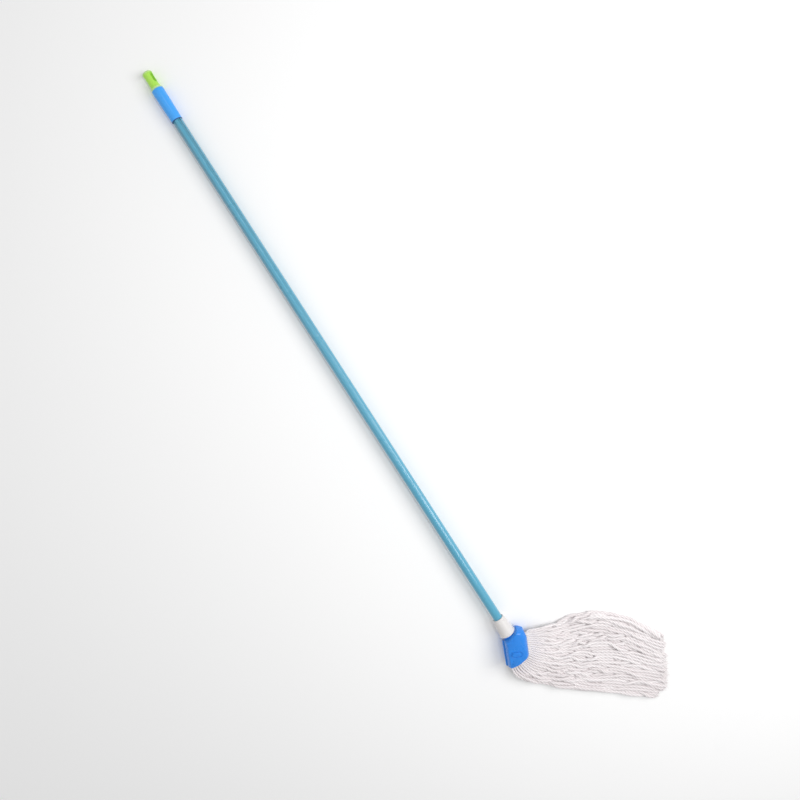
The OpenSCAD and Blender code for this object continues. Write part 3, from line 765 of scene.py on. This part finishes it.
# %% Finished copies of the CAD meshes
def finished_copy(node, name, body, material, edge, smooth_angle=32):
    """A copy of a CAD node with rounded edges and smooth curves, in place of the node."""
    piece = bpy.data.objects.new(name, nodes[node].data.copy())
    bpy.context.scene.collection.objects.link(piece)
    select_only(piece)
    bpy.ops.object.mode_set(mode="EDIT")
    bpy.ops.mesh.select_all(action="SELECT")
    bpy.ops.mesh.remove_doubles(threshold=0.00001)
    bpy.ops.mesh.dissolve_limited(angle_limit=math.radians(0.6))
    bpy.ops.object.mode_set(mode="OBJECT")
    if edge:
        bevel = piece.modifiers.new("edges", "BEVEL")
        bevel.width = edge * MM
        bevel.segments = 2
        bevel.limit_method = "ANGLE"
        bevel.angle_limit = math.radians(40)
        bevel.use_clamp_overlap = True
        bpy.ops.object.modifier_apply(modifier="edges")
    bpy.ops.object.shade_smooth_by_angle(angle=math.radians(smooth_angle))
    piece.data.materials.clear()
    piece.data.materials.append(material)
    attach(piece, body)
    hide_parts(node)
    print(name, "faces:", len(piece.data.polygons))


finished_copy("handle_tube", "tube", "handle", tube_paint, 0)
finished_copy("grip_sleeve", "grip", "handle", grip_plastic, 0.25)
finished_copy("hanger_cap", "hanging_cap", "handle", lime_plastic, 0.4)
finished_copy("lock_nut", "nut", "lock_nut", white_plastic, 0.25)
finished_copy("clip_back", "clip_back_half", "clip_base", blue_plastic, 0.35, 38)
finished_copy("clip_front", "clip_front_half", "clip_jaw", blue_plastic, 0.35, 38)
finished_copy("release_button", "button", "button", blue_plastic, 0.3)

# %% Finishes of the inner pieces
def dress(node, material):
    """A CAD node that stays as it is gets its finish."""
    obj = nodes[node]
    if not obj.material_slots:
        obj.data.materials.append(material)
    for place_slot in obj.material_slots:
        place_slot.material = material


for node, material in (("tube_end_plug", white_plastic), ("collet_ring", white_plastic),
                       ("hinge_pin", bare_steel), ("button_spring", bare_steel),
                       ("yarn_band", tape_cotton)):
    dress(node, material)
shown = [o for o in bpy.context.scene.objects if o.type == "MESH" and not o.hide_render]
print("pieces shown:", len(shown))

# %% [markdown]
# ## Small details
# A raised oval lip frames the button, three low ridges on the button give the thumb a grip, a
# bead runs round the nut's wide end, and a rolled edge ends the grip, coloured dark blue as
# painted shade for the shadow line at the grip's end. Each starts as a primitive at its size, is
# stretched, inset or bridged in edit mode, and is then turned into place on the clip or on the
# handle's line, with that place kept in its mesh.

# %% The clip's and the handle's own frames
CLIP_T, NUT_END_R, GRIP_R, GRIP_S0 = 42, 16.75, 11.4, -1258
axis_high = CLIP_T / 2
dip = math.asin((axis_high - GRIP_R) / -GRIP_S0)
clip_origin = Matrix.Translation((-BASE_X * MM, 0, 0))
clip_frame = clip_origin @ Matrix.Rotation(-math.radians(CLIP_ANGLE), 4, "Z")
handle_frame = (Matrix.Translation((-BASE_X * MM, 0, axis_high * MM))
                @ Matrix.Rotation(math.pi / 2 - dip, 4, "Y"))
BUTTON_X, BUTTON_Y = CLIP_X1 - 34.5, CLIP_Y0 + 20.3
button_place = Vector((BUTTON_X * MM, BUTTON_Y * MM, 0))


def settle(piece, frame_matrix, name, body, material, smooth_angle=35):
    """Put a modelled piece's place into its mesh, smooth it, and hang it on its body."""
    piece.name = piece.data.name = name
    piece.data.transform(frame_matrix @ piece.matrix_world)
    piece.matrix_world = Matrix.Identity(4)
    select_only(piece)
    bpy.ops.object.mode_set(mode="EDIT")
    bpy.ops.mesh.select_all(action="SELECT")
    bpy.ops.mesh.remove_doubles(threshold=0.000002)
    bpy.ops.mesh.normals_make_consistent(inside=False)
    bpy.ops.object.mode_set(mode="OBJECT")
    bpy.ops.object.shade_smooth_by_angle(angle=math.radians(smooth_angle))
    piece.data.materials.clear()
    piece.data.materials.append(material)
    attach(piece, body)
    print(name, "faces:", len(piece.data.polygons))


def select_faces(piece, wanted):
    """Select the faces that a test on their centre and normal picks out. In edit mode after it."""
    bpy.ops.object.mode_set(mode="EDIT")
    bpy.ops.mesh.select_mode(type="FACE")
    bpy.ops.mesh.select_all(action="DESELECT")
    bpy.ops.object.mode_set(mode="OBJECT")
    for face in piece.data.polygons:
        face.select = wanted(face.center, face.normal)
    bpy.ops.object.mode_set(mode="EDIT")


def select_points(piece, wanted):
    """Select the points that a test on their place picks out. In edit mode after it."""
    bpy.ops.object.mode_set(mode="EDIT")
    bpy.ops.mesh.select_mode(type="VERT")
    bpy.ops.mesh.select_all(action="DESELECT")
    bpy.ops.object.mode_set(mode="OBJECT")
    for point in piece.data.vertices:
        point.select = wanted(point.co)
    bpy.ops.object.mode_set(mode="EDIT")


def join(pieces):
    """Several pieces made one, which is then the active object."""
    bpy.ops.object.select_all(action="DESELECT")
    for piece in pieces:
        piece.select_set(True)
    bpy.context.view_layer.objects.active = pieces[0]
    bpy.ops.object.join()
    return bpy.context.object


def start(kind, **size):
    """A primitive with nothing else selected."""
    bpy.ops.object.select_all(action="DESELECT")
    getattr(bpy.ops.mesh, f"primitive_{kind}_add")(**size)
    return bpy.context.object


print("handle dips", round(math.degrees(dip), 3), "degrees")

# %% The button's oval lip
LIP_LONG, LIP_WIDE, LIP_EDGE, LIP_HIGH, LIP_ROUND = 25.0, 14.2, 1.25, 1.3, 0.4
lip = start("cylinder", vertices=48, radius=LIP_WIDE / 2 * MM, depth=LIP_HIGH * MM)
for way in (-1, 1):
    select_points(lip, lambda p: p.y * way > 0.00001)
    bpy.ops.transform.translate(value=(0, way * (LIP_LONG - LIP_WIDE) / 2 * MM, 0))
select_faces(lip, lambda centre, normal: abs(normal.z) > 0.9)
bpy.ops.mesh.inset(thickness=LIP_EDGE * MM, depth=0)
bpy.ops.mesh.bridge_edge_loops()
bpy.ops.object.mode_set(mode="OBJECT")
round_over = lip.modifiers.new("round_over", "BEVEL")
round_over.width = LIP_ROUND * MM
round_over.segments = 3
round_over.limit_method = "ANGLE"
select_only(lip)
bpy.ops.object.modifier_apply(modifier="round_over")
lip.matrix_world = Matrix.Translation(button_place + Vector((0, 0, (CLIP_T + 0.1) * MM)))
settle(lip, clip_frame, "button_lip", "clip_jaw", blue_plastic)

# %% Three ridges for the thumb
BUTTON_TOP = CLIP_T + 1.4
RIDGE_R, RIDGE_LONG, RIDGE_SHORTER, RIDGE_STEP = 0.55, 6.6, 1.2, 3.4
ridges = []
for number in (-1, 0, 1):
    ridge_long = RIDGE_LONG - RIDGE_SHORTER * abs(number)
    ridge = start("cylinder", vertices=16, radius=RIDGE_R * MM, depth=ridge_long * MM)
    select_faces(ridge, lambda centre, normal: abs(normal.z) > 0.9)
    bpy.ops.mesh.inset(thickness=0.2 * MM, depth=0.25 * MM)
    bpy.ops.object.mode_set(mode="OBJECT")
    place_here = button_place + Vector((0, number * RIDGE_STEP * MM, (BUTTON_TOP - 0.1) * MM))
    ridge.matrix_world = Matrix.Translation(place_here) @ Matrix.Rotation(math.pi / 2, 4, "Y")
    ridges.append(ridge)
settle(join(ridges), clip_frame, "thumb_ridges", "button", blue_plastic)

# %% The bead round the nut's wide end
BEAD_SINK, BEAD_R, BEAD_TAIL = 0.45, 1.0, 1.9
bead = start("torus", major_segments=72, minor_segments=14, major_radius=(NUT_END_R - BEAD_SINK) * MM,
             minor_radius=BEAD_R * MM)
select_points(bead, lambda p: p.z < -0.0001)
bpy.ops.transform.resize(value=(1, 1, BEAD_TAIL), center_override=(0, 0, 0))
bpy.ops.object.mode_set(mode="OBJECT")
bead.matrix_world = Matrix.Translation((0, 0, -1.9 * MM))
settle(bead, handle_frame, "nut_bead", "lock_nut", white_plastic, 60)

# %% The rolled edge of the grip, dark with painted shade
GRIP_S1, TUBE_R, ROLL_R = -1195, 9.5, 0.62
rolled = start("torus", major_segments=64, minor_segments=12, major_radius=(TUBE_R + 0.5) * MM,
               minor_radius=ROLL_R * MM)
select_points(rolled, lambda p: p.z > 0.0001)
bpy.ops.transform.resize(value=(1, 1, 1.6), center_override=(0, 0, 0))
bpy.ops.object.mode_set(mode="OBJECT")
rolled.matrix_world = Matrix.Translation((0, 0, (GRIP_S1 + 0.2) * MM))
# The ring's dark blue is painted shade for the shadow line at the grip's end.
settle(rolled, handle_frame, "grip_rolled_edge", "handle", painted_shade_blue, 60)

# %% [markdown]
# ## Stitches and loose fibres
# The tape that holds the yarn is sewn with two rows of thick thread. One stitch is modelled, and
# copies of its mesh are laid along the tape's edges. At the cut ends single cotton fibres stand
# out of the yarn, each a fine bent hair with only a few faces.

# %% Stitches along the tape
STITCH_LONG, STITCH_R, STITCH_STEP = 3.0, 0.45, 4.2
ROW_DEPTHS = (1.8, 7.3)
stitch = start("uv_sphere", segments=8, ring_count=6, radius=STITCH_R * MM)
select_points(stitch, lambda p: True)
bpy.ops.transform.resize(value=(STITCH_LONG / (2 * STITCH_R), 1, 1))
bpy.ops.object.mode_set(mode="OBJECT")
tape_edge = rounded_line(BAND_LINE, BAND_BENDS)
stitches = []
for depth in ROW_DEPTHS:
    row = beside(tape_edge, depth)
    row_at = distances(row)
    for at in np.arange(2.5, row_at[-1] - 2, STITCH_STEP):
        x, y = (float(np.interp(at, row_at, row[:, k])) for k in (0, 1))
        x2, y2 = (float(np.interp(at + 0.5, row_at, row[:, k])) for k in (0, 1))
        copy = stitch.copy()
        copy.data = stitch.data.copy()
        bpy.context.scene.collection.objects.link(copy)
        copy.matrix_world = Matrix.Translation((x * MM, y * MM, (BAND_HIGH + 0.12) * MM)) \
            @ Matrix.Rotation(math.atan2(y2 - y, x2 - x), 4, "Z")
        stitches.append(copy)
print("stitches:", len(stitches))
settle(join(stitches), clip_frame, "tape_stitches", "clip_base", tape_cotton, 60)
bpy.data.objects.remove(stitch)

# %% Loose fibres at the cut ends
HAIRS, HAIR_R, HAIR_BENDS, HAIR_SIDES = 14, 0.11, 3, 3
HAIR_AIM, HAIR_SCATTER, HAIR_CURL, HAIR_LOWEST = 0.75, 0.56, 0.9, 0.3
HAIR_SHORT, HAIR_EXTRA = 3.5, 5
hair_points, hair_faces = [], []


def add_hair(begin, aim, bend, long_hair, way):
    """One fine bent hair that thins towards its end, with both ends closed."""
    base = len(hair_points)
    for k in range(HAIR_BENDS + 1):
        w = k / HAIR_BENDS
        spot = begin + aim * long_hair * w + bend * long_hair * w * w * 0.5
        spot[2] = max(spot[2], HAIR_LOWEST)
        size = HAIR_R * (1.15 - w)
        for corner in range(HAIR_SIDES):
            a = corner * 2 * math.pi / HAIR_SIDES
            spread = np.array([math.cos(a) * -way[1], math.cos(a) * way[0], math.sin(a)]) * size
            hair_points.append(((spot + spread) * MM).tolist())
    for k in range(HAIR_BENDS):
        first = base + k * HAIR_SIDES
        for corner in range(HAIR_SIDES):
            a, b = first + corner, first + (corner + 1) % HAIR_SIDES
            hair_faces.append((a, b, b + HAIR_SIDES, a + HAIR_SIDES))
    top = base + HAIR_BENDS * HAIR_SIDES
    hair_faces.extend([(base + 2, base + 1, base), (top, top + 1, top + 2)])


for _, _, centres, _ in made:
    end, before = centres[-1] / MM, centres[-6] / MM
    way = (end - before) / np.linalg.norm(end - before)
    for _ in range(HAIRS):
        aim = way + HAIR_AIM * (chance.random(3) - 0.5)
        begin = end + STRAND_R * HAIR_SCATTER * (chance.random(3) * 2 - 1)
        long_hair = HAIR_SHORT + HAIR_EXTRA * chance.random()
        bend = (chance.random(3) - 0.5) * HAIR_CURL
        add_hair(begin, aim, bend, long_hair, way)
hair_mesh = bpy.data.meshes.new("loose_fibres")
hair_mesh.from_pydata(hair_points, [], hair_faces)
hairs = bpy.data.objects.new("loose_fibres", hair_mesh)
bpy.context.scene.collection.objects.link(hairs)
settle(hairs, Matrix.Identity(4), "loose_fibres", "clip_base", tape_cotton, 60)
